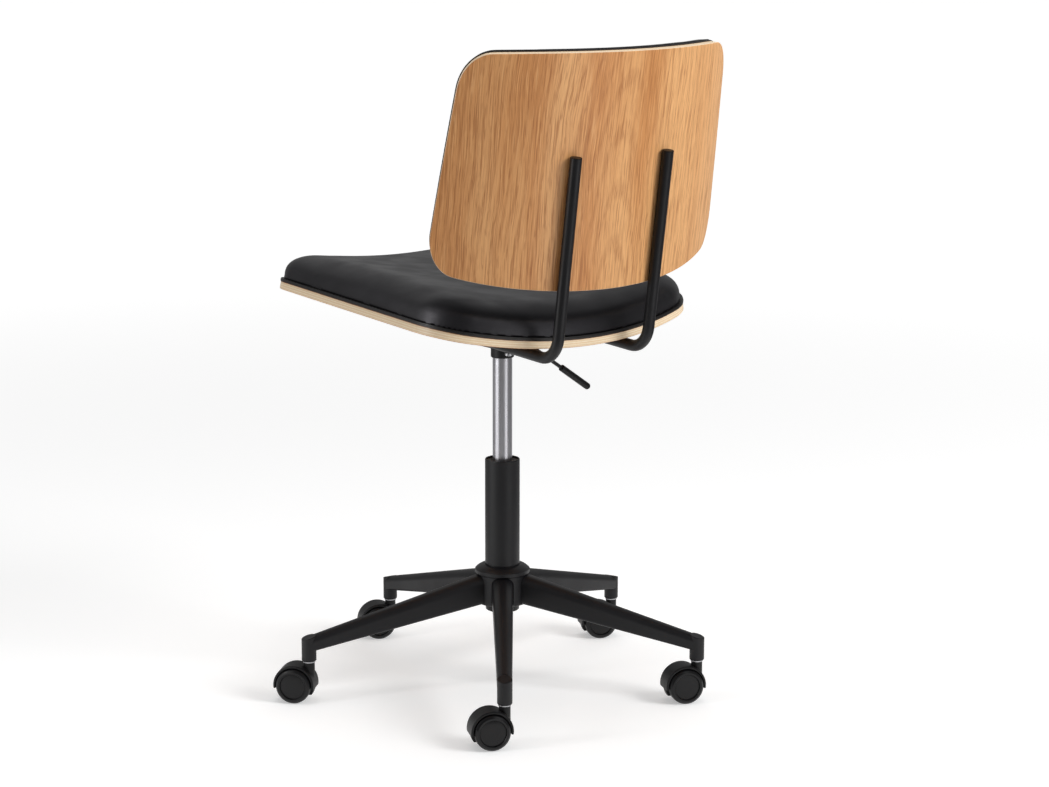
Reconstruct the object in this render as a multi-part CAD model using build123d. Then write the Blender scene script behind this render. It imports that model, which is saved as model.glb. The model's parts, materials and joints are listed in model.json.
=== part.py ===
from build123d import *
import os
from math import atan2, cos, degrees, radians, sin, sqrt

os.makedirs("parts", exist_ok=True)

# Office chair on a five-leg base. Millimetres, +Z up, floor at z = 0.
# The lift column stands on the Z axis and the chair faces -Y.

# General fits
FIT = 0.02            # pieces of one body that sit on each other
RUN = 0.05            # radial clearance of a turning or sliding fit
LOOSE = 0.3           # clearance of a hole for a screw
EASE = 1.0            # edges taken off the plywood

# Casters
WHEEL_R = 25.0
WHEEL_IN = 6.0        # inner face of each wheel from the middle of the caster
WHEEL_OUT = 21.0      # outer face
TRAIL = 20.0          # wheel axle behind the stem
AXLE_R = 3.0
AXLE_HALF = 17.5
HOOD_GAP = 1.6
HOOD_WALL = 3.0
HOOD_HALF = 16.0
HOOD_LOW = 4.0        # the hood ends this far below the axle
WEB_HALF = 5.0
NECK_R = 8.0
STEM_R = 5.5
STEM_UP = 21.0        # stem length inside its socket
RING_R = 9.0          # bright ring between neck and socket
RING_T = 1.2
RIM_BACK = 3.4        # outer edge of a wheel's raised rim behind the tread
RIM_WIDE = 2.6
DISC_SINK = 2.2       # smooth disc inside the rim, at its edge
DISC_RISE = 1.0       # and its dome in the middle

# Base
LEGS = 5
FIRST_LEG = 54.0      # degrees from +X
STEM_CIRCLE = 290.0
SOCKET_LOW = 59.5     # underside of the caster sockets
SOCKET_R = 10.5
SLEEVE_R = 8.0
LEG_IN = 27.5         # leg starts at this radius, in a pocket of the hub
LEG_W_IN, LEG_H_IN, LEG_TOP_IN = 30.5, 43.0, 166.5
LEG_W_TIP, LEG_H_TIP, LEG_TOP_TIP = 20.5, 21.0, 95.0
LEG_WALL = 2.0
POCKET_GAP = 0.8
HUB_R = 36.5
HUB_LOW = 121.0
HUB_TOP = 178.0
FLANGE_R = 39.5
FLANGE_LOW = 165.5
# Rolling direction of each caster as it stands, in degrees about Z
HEADINGS = (-24.0, -22.0, -24.0, -24.0, -47.0)

# Gas lift
COLUMN_R = 25.0
COLUMN_WALL = 1.8
COLUMN_TOP = 333.5
COLUMN_LOW = 110.0
COLUMN_TIP_R = 24.2   # radius at the lower end of the taper
TAPER_TOP = HUB_TOP - 2.0
FLOOR_T = 3.0         # closed bottom of the column
BUSH_LONG = 101.0
BUSH_DROP = 2.5       # bush top below the column's mouth
CYL_R = 14.0
CYL_BORE = 12.0
CYL_LOW = 262.0
CYL_TOP = 499.0
CYL_TIP_R = 13.6
GLAND_T = 12.0
ROD_R = 5.0
WASHER_R = 12.0
WASHER_T = 2.0
CAGE_T = 4.0
BUMP_T = 6.0
CLIP_R = 9.0
CLIP_T = 2.0
PISTON_T = 10.0
PIN_R = 3.0
PIN_UP = 7.0          # release pin above the cylinder
PIN_LONG = 16.0

# Seat, in its own frame: x across, y to the rear, z up from the shell's underside
SEAT_Z = 534.0        # underside of the shell on the column axis
SEAT_TILT = 2.29      # front edge up, degrees
SEAT_BEND = 1000.0    # radius of the shell's underside across the seat
SEAT_PLY = 11.0
SEAT_LIP = 4.5
SEAT_PAD = 44.0
SEAT_DRAW = 4.0       # cushion sides drawn in between the corners
SEAT_CROWN = 4200.0   # radius of the cushion's top along the seat
SEAT_ROUND = 20.0     # rounding of the cushion's upper edge
SEAT_REAR, SEAT_FRONT = 197.0, -294.0
SEAT_REAR_BOW, SEAT_FRONT_BOW = 46.0, 9.0    # drop of the end arcs at the corners
SEAT_HALF_REAR, SEAT_HALF_FRONT = 228.0, 209.0
SEAT_CORNER_REAR, SEAT_CORNER_FRONT = 70.0, 45.0
SEAT_OVER = 0.8       # the board's edge stands proud of the plywood
SEAT_INSET = 2.5      # foot of the cushion behind the plywood's edge

# Backrest, lying in its own frame: x across, y up the back, z towards the sitter
BACK_Y, BACK_Z = 257.0, 735.5     # rear face at mid width
BACK_TILT = 8.4
BACK_BEND = 390.0
BACK_PLY = 11.0
BACK_LIP = 4.0
BACK_PAD = 30.0
BACK_DRAW = 2.5
BACK_CROWN = 1500.0
BACK_ROUND = 12.0
BACK_TOP, BACK_LOW = 196.0, -127.0
BACK_TOP_BOW, BACK_LOW_BOW = 10.0, 28.5
BACK_HALF_TOP, BACK_HALF_LOW = 216.5, 251.0
BACK_CORNER_TOP, BACK_CORNER_LOW = 58.0, 52.0
BACK_OVER = 1.0       # the board's edge stands proud of the plywood
BACK_BULGE = 1.5      # the cushion swells past the plywood's edge

# Tubes, frame plate and lift bracket
TUBE_R = 8.0
TUBE_WALL = 1.6
TUBE_X = 78.0
TUBE_BEND = 36.0
TUBE_FRONT = -70.0    # front end, along the seat
TUBE_TOP = 57.0       # upper end, up the back
SADDLE_GAP = 3.0      # tube to seat shell, filled by the saddles
SADDLE_R = 9.0
BACK_GAP = 0.3
PLUG_T = 2.0
PLUG_LONG = 10.0
PLATE_T = 3.0
PLATE_X, PLATE_Y = 124.0, 170.0
CHAN_X0, CHAN_X1 = -46.0, 30.0
CHAN_HALF = 24.0
CHAN_T = 3.0
CHAN_LOW = CYL_TOP
CONE_R = 16.6
CONE_LOW = 481.5

# Screws
SCREW_R = 3.0
HEAD_R = 5.0
HEAD_T = 3.5
TEE_R = 4.0
TEE_FLANGE = 9.0
TEE_T = 1.4
TEE_SINK = 2.2
INSERT_R = 4.5
INSERT_LONG = 10.0
PLATE_SCREW = (54.0, 72.0)
TUBE_SCREWS = (-45.0, 120.0)
BACK_SCREWS = (-62.0, 36.0)

# Lever
PIVOT_X = -26.0
PIVOT_R = 2.5
LEVER_R = 2.75
LEVER_Z = CYL_TOP + PIN_UP + 0.25 + LEVER_R
LEVER_DROOP = 34.5
LEVER_LONG = 160.0
GRIP_FROM = 97.0
GRIP_R = 5.0
BOSS_R = 6.0
BOSS_HALF = 8.0

# Derived places
SEAT = Pos(0, 0, SEAT_Z) * Rot(-SEAT_TILT, 0, 0)
BACK = Pos(0, BACK_Y, BACK_Z) * Rot(90 - BACK_TILT, 0, 0)
REACH = 400.0         # longer than any sheet
SIDE_BOW = -1.0       # sides of the shells bow out a little
PAD_FLAT = 1.05       # a pad's top is bent this much less than its sheet


def save(name, shape):
    """Write one node."""
    shape.label = name
    export_step(shape, "parts/" + name + ".step")


def group(solids):
    """Several separate solids as one node."""
    return Compound(children=list(solids))


def turned(points):
    """Solid of revolution about Z from an (r, z) outline."""
    return revolve(Plane.XZ * make_face(Polyline(*points, close=True)), Axis.Z)


def tube(r_out, r_in, z0, z1):
    return turned([(r_in, z0), (r_out, z0), (r_out, z1), (r_in, z1)])


def drum(radius, z0, z1, x=0.0, y=0.0):
    """Upright cylinder between two heights."""
    return Pos(x, y, (z0 + z1) / 2) * Cylinder(radius, z1 - z0)


def ring_edges(shape, z, r, slack=0.05):
    """Circular edges of a turned piece at one height and radius."""
    return [e for e in shape.edges().filter_by(GeomType.CIRCLE)
            if abs(e.center(CenterOf.BOUNDING_BOX).Z - z) < slack and abs(e.radius - r) < slack]


# Bent sheets and pads, in the frame of the seat or the back

def sheet_z(bend, height, x):
    """Height over the frame's origin of a surface of a bent sheet."""
    return bend - sqrt((bend - height) ** 2 - x ** 2)


def roll(bend, height, long=2 * REACH):
    """Everything above a surface that lies this far over the sheet's underside."""
    return Pos(0, 0, bend) * Rot(90, 0, 0) * Cylinder(bend - height, long)


def outline(y0, y1, half0, half1, bow0, bow1, corner0, corner1, inset, draw, flare):
    """Plan of a sheet: bowed ends, straight or drawn-in sides, rounded corners.

    y0 is the low end with half width half0, y1 the high end with half1.
    """
    a0, a1 = y0 + inset, y1 - inset
    h0, h1 = (half0 - inset) * flare, (half1 - inset) * flare
    c0, c1 = a0 + bow0, a1 - bow1
    mid = (h0 + h1) / 2 - draw
    low = ThreePointArc((-h0, c0), (0, a0), (h0, c0))
    high = ThreePointArc((h1, c1), (0, a1), (-h1, c1))
    right = ThreePointArc((h0, c0), (mid, (c0 + c1) / 2), (h1, c1))
    left = ThreePointArc((-h1, c1), (-mid, (c0 + c1) / 2), (-h0, c0))
    face = make_face([low, right, high, left])
    face = fillet([v for v in face.vertices() if v.Y < (c0 + c1) / 2], corner0 - inset)
    return fillet([v for v in face.vertices() if abs(v.Y - c1) < 0.01], corner1 - inset)


def seat_plan(inset, draw, flare):
    return outline(SEAT_FRONT, SEAT_REAR, SEAT_HALF_FRONT, SEAT_HALF_REAR, SEAT_FRONT_BOW,
                   SEAT_REAR_BOW, SEAT_CORNER_FRONT, SEAT_CORNER_REAR, inset, draw, flare)


def back_plan(inset, draw, flare):
    return outline(BACK_LOW, BACK_TOP, BACK_HALF_LOW, BACK_HALF_TOP, BACK_LOW_BOW,
                   BACK_TOP_BOW, BACK_CORNER_LOW, BACK_CORNER_TOP, inset, draw, flare)


def block(plan, bend, half, inset=0.0, draw=SIDE_BOW):
    """Block with a sheet's outline, its side walls square to the bent sheet.

    half is the half width, where the plan is true to size.
    """
    true = sheet_z(bend, 0, half)
    ends = [Pos(0, 0, z) * plan(inset, draw, (bend - z) / (bend - true)) for z in (-30, 190)]
    return loft(ends, ruled=True)


def seat_block(inset=0.0, draw=SIDE_BOW):
    return block(seat_plan, SEAT_BEND, (SEAT_HALF_REAR + SEAT_HALF_FRONT) / 2, inset, draw)


def back_block(inset=0.0, draw=SIDE_BOW):
    return block(back_plan, BACK_BEND, (BACK_HALF_TOP + BACK_HALF_LOW) / 2, inset, draw)


def sheet(solid, bend, low, high):
    """Bent sheet between two heights over the underside, cut out of a block."""
    return solid & (roll(bend, low) - roll(bend, high, 3 * REACH))


def eased_rim(solid, bend, height):
    """Take off the outer edges of one surface of a sheet."""
    def on(e, t):
        p = e.position_at(t)
        return abs(p.Z - sheet_z(bend, height, p.X)) < 0.05
    return chamfer([e for e in solid.edges() if on(e, 0.1) and on(e, 0.5) and on(e, 0.9)], EASE)


def pad(solid, bend, low, thick, crown, edge):
    """Cushion on a bent sheet: dished across with the sheet, crowned both ways, rounded edge.

    crown is the radius of the top along the sheet.
    """
    top = low + thick
    flat = (bend - top) * PAD_FLAT
    side = min(flat, REACH) * 0.75
    rise = flat - sqrt(flat ** 2 - side ** 2)
    profile = make_face([
        ThreePointArc((-side, top + rise), (0, top), (side, top + rise)),
        Line((side, top + rise), (side, top - 2 * thick)),
        Line((side, top - 2 * thick), (-side, top - 2 * thick)),
        Line((-side, top - 2 * thick), (-side, top + rise))])
    mid_y = solid.bounding_box().center().Y
    half = degrees(atan2(REACH * 0.75, crown))
    hinge = Axis((0, mid_y, top - crown), (1, 0, 0))
    dome = revolve(Pos(0, mid_y, 0) * (Plane.XZ * profile), hinge, 2 * half)
    body = solid & roll(bend, low) & dome.rotate(hinge, -half)

    def high(e, t):
        p = e.position_at(t)
        return p.Z > sheet_z(bend, low, p.X) + thick / 3
    return fillet([e for e in body.edges() if high(e, 0.03) and high(e, 0.97)], edge)


# Casters, in their own frame: stem on Z, wheels behind it on +X

def wheel(side):
    """One wheel: rounded tread, raised rim round a domed disc on its outer face, blind bore."""
    t0, t1 = WHEEL_IN, WHEEL_OUT
    rim = WHEEL_R - RIM_BACK
    edge = rim - RIM_WIDE
    low = t1 - DISC_SINK
    flat = (edge * 0.3, low + DISC_RISE)
    wire = [Polyline((0, t0), (0, low + DISC_RISE), flat),
            ThreePointArc(flat, (edge * 0.68, low + DISC_RISE * 0.62), (edge - 1.2, low)),
            Polyline((edge - 1.2, low), (edge - 0.5, t1 - 0.6), (edge, t1), (rim, t1),
                     (rim + 0.8, t1 - 0.7), (WHEEL_R - 0.8, t1 - 2.2), (WHEEL_R, t1 - 4.4),
                     (WHEEL_R, t0 + 2.5), (WHEEL_R - 1.5, t0 + 0.8), (WHEEL_R - 3.0, t0), (0, t0))]
    body = revolve(Plane.XZ * make_face(wire), Axis.Z)
    body -= drum(AXLE_R + RUN, t0 - 1, AXLE_HALF + LOOSE)
    return Pos(TRAIL, 0, WHEEL_R) * Rot(-90 * side, 0, 0) * body


def lying(radius, half, x=TRAIL, z=WHEEL_R):
    """Cylinder on the axle."""
    return Pos(x, 0, z) * Rot(90, 0, 0) * Cylinder(radius, 2 * half)


def caster_housing():
    """Hood over both wheels, web between them and a neck for the stem."""
    inner = WHEEL_R + HOOD_GAP
    outer = inner + HOOD_WALL
    hood = lying(outer, HOOD_HALF)
    hood = fillet(hood.edges().filter_by(GeomType.CIRCLE), HOOD_WALL * 0.6)
    neck = drum(NECK_R, WHEEL_R, SOCKET_LOW - RING_T - LOOSE)
    neck = fillet(ring_edges(neck, SOCKET_LOW - RING_T - LOOSE, NECK_R), 1.0)
    shell = hood + neck - lying(inner, 2 * HOOD_HALF)
    low = WHEEL_R - HOOD_LOW
    shell -= Pos(TRAIL, 0, low - 50) * Box(4 * outer, 4 * HOOD_HALF, 100)
    web = lying(inner + HOOD_WALL / 2, WEB_HALF) - Pos(TRAIL, 0, -40) * Box(120, 60, 100)
    body = shell + web - lying(AXLE_R + FIT, HOOD_HALF)
    return body - drum(STEM_R + FIT, WHEEL_R + 20, SOCKET_LOW)


def caster_steel():
    """Stem with its ring, and the axle."""
    top = SOCKET_LOW + STEM_UP
    ring0 = SOCKET_LOW - RING_T - LOOSE + FIT
    stem = turned([(0, WHEEL_R + 20 + FIT), (STEM_R, WHEEL_R + 20 + FIT), (STEM_R, ring0),
                   (RING_R, ring0), (RING_R, ring0 + RING_T), (STEM_R, ring0 + RING_T),
                   (STEM_R, top - 2), (STEM_R - 1.5, top), (0, top)])
    return stem, lying(AXLE_R, AXLE_HALF)


def leg_angle(k):
    return FIRST_LEG + 360.0 / LEGS * k


def caster_place(k):
    a = radians(leg_angle(k))
    return Pos(STEM_CIRCLE * cos(a), STEM_CIRCLE * sin(a), 0) * Rot(0, 0, HEADINGS[k])


# Base

def leg_section(r, width, height, top, grow):
    """Leg outline across its length: full round shoulders, small lower corners."""
    w, h = width + 2 * grow, height + 2 * grow
    face = Pos(0, top + grow - h / 2) * Rectangle(w, h)
    face = fillet([v for v in face.vertices() if v.Y > top - height / 2], w * 0.42)
    low = [v for v in face.vertices() if v.Y < top - height * 0.9]
    face = fillet(low, w * 0.16)
    return Plane(origin=(r, 0, 0), x_dir=(0, 1, 0), z_dir=(1, 0, 0)) * face


def leg_loft(r0, r1, grow=0.0):
    """Tapered leg body along +X between two radii."""
    def at(r):
        t = (r - LEG_IN) / (STEM_CIRCLE - LEG_IN)
        return leg_section(r, LEG_W_IN + t * (LEG_W_TIP - LEG_W_IN),
                           LEG_H_IN + t * (LEG_H_TIP - LEG_H_IN),
                           LEG_TOP_IN + t * (LEG_TOP_TIP - LEG_TOP_IN), grow)
    return loft([at(r0), at(r1)])


def leg():
    """Pressed-steel leg, hollow, ending on its caster socket."""
    body = leg_loft(LEG_IN, STEM_CIRCLE) - leg_loft(LEG_IN - 1, STEM_CIRCLE + 1, -LEG_WALL)
    return body - drum(SOCKET_R + FIT, 0, HUB_TOP, STEM_CIRCLE)


def leg_socket():
    """Round caster socket, its top sloped with the leg."""
    slope = (LEG_TOP_IN - LEG_TOP_TIP) / (STEM_CIRCLE - LEG_IN)
    body = drum(SOCKET_R, SOCKET_LOW, LEG_TOP_TIP + 20, STEM_CIRCLE)
    cut = Pos(STEM_CIRCLE, 0, LEG_TOP_TIP - 0.3) * Rot(0, degrees(atan2(slope, 1)), 0)
    body -= cut * Pos(0, 0, 50) * Box(100, 100, 100)
    body = fillet([e for e in body.edges() if e.center().Z > SOCKET_LOW + 15
                   and e.length > SOCKET_R * 4], 1.0)
    body = chamfer(ring_edges(body, SOCKET_LOW, SOCKET_R), 1.2)
    return body - drum(SLEEVE_R + FIT, 0, SOCKET_LOW + STEM_UP + 2, STEM_CIRCLE)


def socket_sleeve():
    """Plastic sleeve that the caster stem turns in."""
    body = drum(SLEEVE_R, SOCKET_LOW + FIT, SOCKET_LOW + STEM_UP + 2 - FIT, STEM_CIRCLE)
    return body - drum(STEM_R + RUN, 0, SOCKET_LOW + STEM_UP + LOOSE, STEM_CIRCLE)


def column_radius(z):
    """Outer radius of the column on its taper in the hub."""
    t = (z - COLUMN_LOW) / (TAPER_TOP - COLUMN_LOW)
    return COLUMN_TIP_R + t * (COLUMN_R - COLUMN_TIP_R)


def hub():
    """Hub with a domed top flange, a tapered bore and a pocket for each leg."""
    b0 = column_radius(HUB_LOW) + FIT
    b1 = COLUMN_R + FIT
    rim = FLANGE_LOW + 5.5
    wire = [Polyline((b1, TAPER_TOP), (b0, HUB_LOW), (HUB_R - 1.5, HUB_LOW), (HUB_R, HUB_LOW + 1.5),
                     (HUB_R, FLANGE_LOW - 1.5), (HUB_R + 1.5, FLANGE_LOW), (FLANGE_R - 0.8, FLANGE_LOW),
                     (FLANGE_R, FLANGE_LOW + 0.8), (FLANGE_R, rim)),
            ThreePointArc((FLANGE_R, rim), (FLANGE_R - 4.2, rim + 3.6), (b1 + 3, HUB_TOP)),
            Polyline((b1 + 3, HUB_TOP), (b1, HUB_TOP), (b1, TAPER_TOP))]
    body = revolve(Plane.XZ * make_face(wire), Axis.Z)
    for k in range(LEGS):
        body -= Rot(0, 0, leg_angle(k)) * leg_loft(LEG_IN - POCKET_GAP, 2 * HUB_R, POCKET_GAP)
    return body


def column():
    """Outer column with a tapered foot and a closed bottom."""
    inner = COLUMN_R - COLUMN_WALL
    foot = COLUMN_TIP_R - COLUMN_WALL
    return turned([
        (ROD_R + LOOSE, COLUMN_LOW), (COLUMN_TIP_R - 1, COLUMN_LOW), (COLUMN_TIP_R, COLUMN_LOW + 1),
        (COLUMN_R, TAPER_TOP), (COLUMN_R, COLUMN_TOP - 1.2), (COLUMN_R - 0.5, COLUMN_TOP),
        (inner, COLUMN_TOP), (inner, TAPER_TOP), (foot, COLUMN_LOW + FLOOR_T),
        (ROD_R + LOOSE, COLUMN_LOW + FLOOR_T)])


def bush():
    """Plastic guide bush in the mouth of the column."""
    top = COLUMN_TOP - BUSH_DROP
    outer = COLUMN_R - COLUMN_WALL - FIT
    return turned([(CYL_R + RUN, top - BUSH_LONG), (outer, top - BUSH_LONG), (outer, top),
                   (CYL_R + 3, top), (CYL_R + 2, top - 1), (CYL_R + RUN, top - 1)])


# Gas lift inside

STACK = COLUMN_LOW + FLOOR_T      # where the thrust bearing starts


def bearing():
    """Lower washer and ball cage of the thrust bearing."""
    low = tube(WASHER_R, ROD_R + LOOSE, STACK + FIT, STACK + WASHER_T)
    cage = tube(WASHER_R - 1, ROD_R + 1, STACK + WASHER_T + FIT, STACK + WASHER_T + CAGE_T)
    return low, cage


def bearing_cap():
    """Upper washer of the thrust bearing, on the piston rod."""
    z = STACK + WASHER_T + CAGE_T + RUN
    return tube(WASHER_R, ROD_R + FIT, z, z + WASHER_T)


def bump_stop():
    z = STACK + 2 * WASHER_T + CAGE_T + 2 * RUN
    return tube(WASHER_R - 1, ROD_R + FIT, z, z + BUMP_T)


CLIP_Z = COLUMN_LOW - LOOSE - CLIP_T


def piston_rod():
    """Rod with its piston, and a groove for the clip under the column's floor."""
    top = CYL_LOW + GLAND_T + PISTON_T + 2
    neck = ROD_R - 0.8
    return turned([
        (0, CLIP_Z - 3), (ROD_R - 0.5, CLIP_Z - 3), (ROD_R, CLIP_Z - 2.5), (ROD_R, CLIP_Z - FIT),
        (neck, CLIP_Z - FIT), (neck, CLIP_Z + CLIP_T + FIT), (ROD_R, CLIP_Z + CLIP_T + FIT),
        (ROD_R, top - PISTON_T), (CYL_BORE - RUN, top - PISTON_T), (CYL_BORE - RUN, top), (0, top)])


def rod_clip():
    """Spring clip in the groove, open on one side."""
    body = tube(CLIP_R, ROD_R - 0.8 + FIT, CLIP_Z, CLIP_Z + CLIP_T)
    return body - Pos(CLIP_R, 0, CLIP_Z) * Box(2 * CLIP_R, ROD_R, 4 * CLIP_T)


def cylinder_radius(z):
    t = (z - CONE_LOW) / (CYL_TOP - CONE_LOW)
    return CYL_R + t * (CYL_TIP_R - CYL_R)


def gas_cylinder():
    """Polished pressure tube: gland below, taper and release pin hole above."""
    hole = PIN_R + RUN
    pin_low = CYL_TOP + PIN_UP - PIN_LONG
    bore_top = pin_low - 20
    outer = turned([(ROD_R + RUN, CYL_LOW), (CYL_R - 0.6, CYL_LOW), (CYL_R, CYL_LOW + 0.6),
                    (CYL_R, CONE_LOW), (CYL_TIP_R, CYL_TOP), (hole, CYL_TOP),
                    (hole, pin_low - 6), (0, pin_low - 6), (0, bore_top), (CYL_BORE, bore_top),
                    (CYL_BORE, CYL_LOW + GLAND_T), (ROD_R + RUN, CYL_LOW + GLAND_T)])
    return outer


def release_pin():
    """Valve pin with a bevelled head."""
    top = CYL_TOP + PIN_UP
    return turned([(0, top - PIN_LONG), (PIN_R, top - PIN_LONG), (PIN_R, top - 1.4),
                   (PIN_R - 1.8, top), (0, top)])


# Under the seat

def cone_socket():
    """Tapered socket that sits on the gas cylinder."""
    top = CHAN_LOW + CHAN_T - 1
    return turned([
        (CYL_R + FIT, CONE_LOW), (CONE_R - 1, CONE_LOW), (CONE_R, CONE_LOW + 1), (CONE_R, top),
        (CYL_TIP_R + FIT, top), (cylinder_radius(CYL_TOP) + FIT, CYL_TOP)])


def lift_bracket():
    """U channel under the frame plate, with the cone socket in its floor and a lever slot."""
    long = CHAN_X1 - CHAN_X0
    mid = (CHAN_X0 + CHAN_X1) / 2
    top = SEAT_Z + 20
    body = Pos(mid, 0, (CHAN_LOW + top) / 2) * Box(long, 2 * CHAN_HALF, top - CHAN_LOW)
    body -= Pos(mid, 0, (CHAN_LOW + CHAN_T + top) / 2 + 5) * Box(
        2 * long, 2 * (CHAN_HALF - CHAN_T), top - CHAN_LOW - CHAN_T + 10)
    body -= SEAT * roll(SEAT_BEND, -PLATE_T - 2 * FIT)
    body -= drum(CONE_R + FIT, CHAN_LOW - 1, CHAN_LOW + CHAN_T + 1)
    slot = BOSS_R + 2
    body -= Pos(CHAN_X0, 0, CHAN_LOW) * Box(2 * (PIVOT_X + BOSS_R - CHAN_X0), slot, 4 * CHAN_T)
    return body - Pos(PIVOT_X, 0, LEVER_Z) * Rot(90, 0, 0) * Cylinder(PIVOT_R + FIT, 3 * CHAN_HALF)


def pivot_pin():
    """Lever pivot across the bracket, with a head at one end."""
    half = CHAN_HALF + 2
    body = Cylinder(PIVOT_R, 2 * half) + Pos(0, 0, half) * Cylinder(PIVOT_R + 1.5, 3)
    return Pos(PIVOT_X, 0, LEVER_Z) * Rot(90, 0, 0) * body


LEVER = Pos(PIVOT_X, 0, LEVER_Z) * Rot(0, -90 - LEVER_DROOP, 0)


def lever_rod():
    """Rod over the release pin, cranked down at its pivot boss."""
    inner = 3.0 - PIVOT_X
    body = Pos(PIVOT_X + inner / 2, 0, LEVER_Z) * Rot(0, 90, 0) * Cylinder(LEVER_R, inner)
    body += LEVER * drum(LEVER_R, 0, LEVER_LONG - GRIP_R)
    boss = Pos(PIVOT_X, 0, LEVER_Z) * Rot(90, 0, 0)
    body += boss * Cylinder(BOSS_R, 2 * BOSS_HALF)
    return body - boss * Cylinder(PIVOT_R + RUN, 4 * BOSS_HALF)


def lever_grip():
    """Round-ended plastic grip."""
    body = drum(GRIP_R, GRIP_FROM, LEVER_LONG)
    body = fillet(ring_edges(body, LEVER_LONG, GRIP_R), GRIP_R * 0.9)
    body = fillet(ring_edges(body, GRIP_FROM, GRIP_R), 1.2)
    return LEVER * (body - drum(LEVER_R + FIT, GRIP_FROM - 1, LEVER_LONG - GRIP_R + FIT))


def tube_offset(bend, gap):
    """Height of a tube's axis under a bent sheet, in the sheet's frame."""
    return bend - sqrt((bend + TUBE_R + gap) ** 2 - TUBE_X ** 2)


SEAT_TUBE = tube_offset(SEAT_BEND, SADDLE_GAP)
BACK_TUBE = tube_offset(BACK_BEND, BACK_GAP)


def seat_point(y, z, x=0.0):
    t = radians(SEAT_TILT)
    return x, y * cos(t) + z * sin(t), SEAT_Z - y * sin(t) + z * cos(t)


def back_point(y, z, x=0.0):
    t = radians(BACK_TILT)
    return x, BACK_Y + y * sin(t) - z * cos(t), BACK_Z + y * cos(t) + z * sin(t)


def tube_corner():
    """Where the run under the seat and the post behind the back would meet."""
    a, b = radians(SEAT_TILT), radians(BACK_TILT)
    _, y0, z0 = seat_point(0, SEAT_TUBE)
    _, y1, z1 = back_point(0, BACK_TUBE)
    # y0 + s cos a = y1 + t sin b and z0 - s sin a = z1 + t cos b
    s = ((y1 - y0) * cos(b) - (z1 - z0) * sin(b)) / (cos(a) * cos(b) + sin(a) * sin(b))
    return y0 + s * cos(a), z0 - s * sin(a)


def back_tube(x):
    """One bent tube from under the seat up the rear of the back."""
    start = Vector(*seat_point(TUBE_FRONT, SEAT_TUBE, x))
    corner = Vector(x, *tube_corner())
    end = Vector(*back_point(TUBE_TOP, BACK_TUBE, x))
    path = FilletPolyline(start, corner, end, radius=TUBE_BEND)
    ends = Plane(origin=start, z_dir=corner - start)
    body = sweep(ends * (Circle(TUBE_R) - Circle(TUBE_R - TUBE_WALL)), path=path)
    for y in TUBE_SCREWS:
        body -= SEAT * drum(SCREW_R + LOOSE, SEAT_TUBE - 20, SEAT_TUBE + 20, x, y)
    for y in BACK_SCREWS:
        body -= BACK * drum(INSERT_R + FIT, BACK_TUBE, BACK_TUBE + 20, x, y)
    return body


def end_plug(frame, x, y, z, turn):
    """Flat plug in an open tube end."""
    head = drum(TUBE_R, FIT, PLUG_T)
    head = fillet(ring_edges(head, PLUG_T, TUBE_R), 0.8)
    body = head + drum(TUBE_R - TUBE_WALL - FIT, -PLUG_LONG, PLUG_T / 2)
    return frame * Pos(x, y, z) * Rot(turn, 0, 0) * body


def end_plugs():
    for x in (-TUBE_X, TUBE_X):
        yield end_plug(SEAT, x, TUBE_FRONT, SEAT_TUBE, 90)
        yield end_plug(BACK, x, TUBE_TOP, BACK_TUBE, -90)


def frame_plate():
    """Steel plate shaped to the shell's underside."""
    slab = Pos(0, 0, -20) * extrude(RectangleRounded(PLATE_X, PLATE_Y, 12), 40)
    body = sheet(slab, SEAT_BEND, -PLATE_T - FIT, -FIT)
    for x, y in plate_screws():
        body -= drum(SCREW_R + LOOSE, -20, 20, x, y)
    return SEAT * body


def plate_screws():
    px, py = PLATE_SCREW
    return [(sx * px, sy * py) for sx in (-1, 1) for sy in (-1, 1)]


def tube_screws():
    return [(sx * TUBE_X, y) for sx in (-1, 1) for y in TUBE_SCREWS]


def back_screws():
    return [(sx * TUBE_X, y) for sx in (-1, 1) for y in BACK_SCREWS]


def screw(head_top, tip, x, y):
    """Pan-head screw pointing up, with a hexagon socket."""
    head = drum(HEAD_R, head_top - HEAD_T, head_top)
    head = fillet(ring_edges(head, head_top - HEAD_T, HEAD_R), 1.2)
    socket = Pos(0, 0, head_top - HEAD_T) * extrude(RegularPolygon(2.0, 6), 2.0)
    return Pos(x, y, 0) * (head - socket + drum(SCREW_R, head_top - 0.5, tip))


def shell_top(x):
    return sheet_z(SEAT_BEND, SEAT_PLY, abs(x) - TEE_FLANGE)


def plate_bolts():
    for x, y in plate_screws():
        seat_z = sheet_z(SEAT_BEND, -PLATE_T - FIT, abs(x) - HEAD_R) - FIT
        yield SEAT * screw(seat_z, shell_top(x) - TEE_SINK, x, y)


def tube_bolts():
    for x, y in tube_screws():
        yield SEAT * screw(SEAT_TUBE - TUBE_R - FIT, shell_top(x) - TEE_SINK, x, y)


def tee_nuts():
    """Flanged nuts sunk in the top of the seat shell."""
    for x, y in plate_screws() + tube_screws():
        z = shell_top(x) - TEE_SINK + FIT
        body = drum(TEE_FLANGE, z, z + TEE_T) + drum(TEE_R, z - 6, z + TEE_T / 2)
        yield SEAT * Pos(x, y, 0) * (body - drum(SCREW_R + FIT, z - 20, z + 20))


def saddles():
    """Spacers between the tubes and the seat shell."""
    for x, y in tube_screws():
        body = drum(SADDLE_R, SEAT_TUBE + TUBE_R * 0.45, SEAT_TUBE + 40, x, y)
        body -= Pos(x, y, SEAT_TUBE) * Rot(90, 0, 0) * Cylinder(TUBE_R + FIT, 4 * SADDLE_R)
        body -= roll(SEAT_BEND, -FIT)
        yield SEAT * (body - drum(SCREW_R + LOOSE, -40, 60, x, y))


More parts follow.
